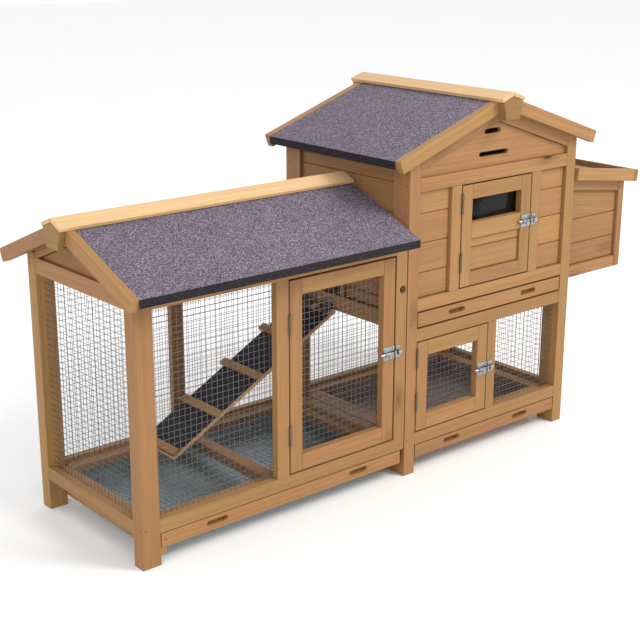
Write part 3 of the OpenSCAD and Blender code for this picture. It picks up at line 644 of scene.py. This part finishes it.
def recess(bm, place, normal, radius):
    """A dark cross on a screw head, painted shade for its recess."""
    turn = normal.to_track_quat("Z", "Y").to_matrix().to_4x4()
    for wide, high in ((1.1, 0.26), (0.26, 1.1)):
        size = Matrix.Diagonal((radius * wide, radius * high, radius * 0.16, 1))
        lift = Matrix.Translation((0, 0, radius * 0.58))
        bmesh.ops.create_cube(
            bm, size=1.0, matrix=Matrix.Translation(place) @ turn @ lift @ size)


def screws(name, body, places, materials):
    """Cross-head screws at the places, each given with the direction it faces."""
    heads, crosses = bmesh.new(), bmesh.new()
    for place, normal in places:
        screw(heads, place, normal, SCREW_R)
        recess(crosses, place, normal, SCREW_R)
    head_piece = add_object("screws_" + name, heads)
    smooth_shading(head_piece, HEAD_SMOOTH)
    finish_piece(head_piece, body, "zinc_hardware", materials["zinc_hardware"])
    # The crosses carry painted shade
    cross_piece = add_object("crosses_" + name, crosses)
    finish_piece(cross_piece, body, "zinc_hardware", materials["painted_recess_shade"])


def bolt_plate_screws(door, materials):
    """Two screws above and two below the barrel of a door's bolt."""
    low, high = (Vector(corner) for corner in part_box(door + "_bolt_barrel"))
    front = high.y - PLATE_T
    middle = (low.z + high.z) / 2
    places = [
        (Vector((x, front, middle + side * BOLT_SCREW_RISE)), Vector((0, -1, 0)))
        for x in (low.x + BOLT_SCREW_INSET, high.x - BOLT_SCREW_INSET)
        for side in (-1, 1)]
    screws(door + "_bolt", door + "_door", places, materials)


def keeper_screws(frame, materials):
    """One screw above and one below the hole of each keeper."""
    places = []
    for low, high in solids(frame["nodes"]["bolt_keepers"]):
        middle = (low + high) / 2
        for side in (-1, 1):
            places.append((
                Vector((middle.x, high.y - PLATE_T, middle.z + side * KEEPER_SCREW_RISE)),
                Vector((0, -1, 0))))
    screws("keepers", "hutch", places, materials)


def lid_hinge_screws(frame, materials):
    """Three screws on the upper face of each leaf on the lid."""
    bm = welded_copy(frame["nodes"]["nest_lid_hinge_leaves"])
    upper = [f for f in bm.faces if f.normal.z > 0.9 and f.calc_area() > LEAF_AREA]
    places = [
        (f.calc_center_median() + Vector((0, shift * LEAF_SCREW_STEP, 0)), f.normal.copy())
        for f in upper for shift in (-1, 0, 1)]
    bm.free()
    screws("lid_hinges", "nest_box_lid", places, materials)


def tray_nails(tray, materials):
    """One nail near each end of a tray's front."""
    low, high = (Vector(corner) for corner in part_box(tray + "_front"))
    bm = bmesh.new()
    for x in (low.x + TRAY_NAIL_INSET, high.x - TRAY_NAIL_INSET):
        place = Vector((x, low.y + NAIL_SUNK, (low.z + high.z) / 2))
        screw(bm, place, Vector((0, -1, 0)), NAIL_R)
    piece = add_object("nails_" + tray, bm)
    smooth_shading(piece, HEAD_SMOOTH)
    finish_piece(piece, tray, "dark_hinge_steel", materials["nail_head"])


def longest_side(low, high):
    """The direction, 0 to 2, in which a box is longest."""
    return max(range(3), key=lambda i: high[i] - low[i])


def nail_places(posts, rails):
    """The outer faces of the posts, wherever a rail ends against the inner face."""
    for post_low, post_high in posts:
        for low, high in rails:
            run = longest_side(low, high)
            side = 1 - run
            start = max(low[side], post_low[side])
            end = min(high[side], post_high[side])
            if run == 2 or end - start < NAILED_WIDTH:
                continue
            if low[2] < post_low[2] - CONTACT or high[2] > post_high[2] + CONTACT:
                continue
            for touching, face, sign in (
                    (low[run] - post_high[run], post_low[run], -1),
                    (post_low[run] - high[run], post_high[run], 1)):
                if abs(touching) < CONTACT:
                    place, normal = Vector(), Vector()
                    place[run], place[side] = face, (start + end) / 2
                    place[2] = (low[2] + high[2]) / 2
                    normal[run] = sign
                    yield place, normal


def frame_nails(frame, materials):
    """Nail heads, sunk almost flush, on every post that carries a rail."""
    everything = []
    for name in ("house_posts", "run_front_frame", "run_back_frame", "run_end_frame",
                 "house_front_frame", "house_side_rails"):
        everything += solids(frame["nodes"][name])
    posts = [box for box in everything if longest_side(*box) == 2]
    rails = [box for box in everything if longest_side(*box) != 2]
    bm = bmesh.new()
    for place, normal in nail_places(posts, rails):
        screw(bm, place - normal * NAIL_SUNK, normal, NAIL_R)
    piece = add_object("nails_frame", bm)
    smooth_shading(piece, HEAD_SMOOTH)
    finish_piece(piece, "hutch", "dark_hinge_steel", materials["nail_head"])


# ---------- scene ----------

def add_camera():
    """The camera, pointed by its yaw, pitch and roll."""
    data = bpy.data.cameras.new("camera")
    data.lens = CAMERA_LENS
    data.sensor_width = 36
    camera = bpy.data.objects.new("camera", data)
    yaw, pitch = math.radians(CAMERA_YAW), math.radians(CAMERA_PITCH)
    forward = Vector((
        math.sin(yaw) * math.cos(pitch), math.cos(yaw) * math.cos(pitch), math.sin(pitch)))
    turn = forward.to_track_quat("-Z", "Y").to_matrix().to_4x4()
    roll = Matrix.Rotation(math.radians(CAMERA_ROLL), 4, "Z")
    camera.matrix_world = Matrix.Translation(CAMERA_AT) @ turn @ roll
    bpy.context.scene.collection.objects.link(camera)
    bpy.context.scene.camera = camera


def add_area_light(name, place, target, size, power, tint):
    """A round soft light aimed at a point."""
    data = bpy.data.lights.new(name, "AREA")
    data.shape = "DISK"
    data.size = size
    data.energy = power
    data.color = tint
    light = bpy.data.objects.new(name, data)
    aim = (Vector(target) - Vector(place)).to_track_quat("-Z", "Y")
    light.matrix_world = Matrix.Translation(place) @ aim.to_matrix().to_4x4()
    bpy.context.scene.collection.objects.link(light)


def add_studio():
    """A pale floor under an even sky, with a warm key light and a cool fill."""
    world = bpy.data.worlds.new("studio")
    bpy.context.scene.world = world
    world.use_nodes = True
    sky = world.node_tree.nodes["Background"]
    sky.inputs["Color"].default_value = (0.985, 0.99, 1.0, 1)
    sky.inputs["Strength"].default_value = 1.05
    add_area_light("key", (2.2, -3.6, 4.2), (0, 0, 0.4), 2.2, 190, (1.0, 0.97, 0.92))
    add_area_light("fill", (-4.0, -2.0, 2.6), (0, 0, 0.4), 3.0, 50, (0.96, 0.98, 1.0))
    bm = bmesh.new()
    bmesh.ops.create_grid(bm, x_segments=8, y_segments=8, size=14)
    floor = add_object("studio_floor", bm)
    floor.data.materials.append(floor_material())
    bpy.context.scene.view_settings.view_transform = "Standard"


def dressed(node, slot, kind, rng):
    """The visible piece that stands for a node, made in the way its material asks."""
    if kind == "wood":
        edge = CLADDING_EDGE if node.name in CLADDING else FRAME_EDGE
        return boards(node, edge, rng)
    if slot == "welded_wire":
        return welded_mesh(node)
    if kind == "rubber":
        return rounded_piece(node, "felt_", FELT_EDGE, 3)
    if slot == "tray_sheet":
        return rounded_piece(node, "pan_", PAN_EDGE)
    return rounded_piece(node, "fitting_", METAL_EDGE)


def main():
    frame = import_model()
    record = frame["record"]
    slots = {part["node"]: part["material_slot"] for part in record["subparts"]}
    classes = {part["slot"]: part["class"] for part in record["materials"]}
    body_of = {n: b for b, nodes in record["behaviour"]["bodies"].items() for n in nodes}
    materials = make_materials()
    rng = random.Random(SEED)
    add_camera()
    add_studio()
    for name in sorted(slots):
        slot = slots[name]
        piece = dressed(frame["nodes"][name], slot, classes[slot], rng)
        # A few nodes take a copy of their slot's material with painted shade and a painted
        # reflection
        material = materials[PAINTED_SHADE_FINISH.get(name, slot)]
        finish_piece(piece, body_of[name], slot, material, name)
    for door in ("run", "house", "lower"):
        bolt_plate_screws(door, materials)
    keeper_screws(frame, materials)
    lid_hinge_screws(frame, materials)
    frame_nails(frame, materials)
    for tray in ("run_tray", "house_tray", "lower_tray"):
        tray_nails(tray, materials)


main()
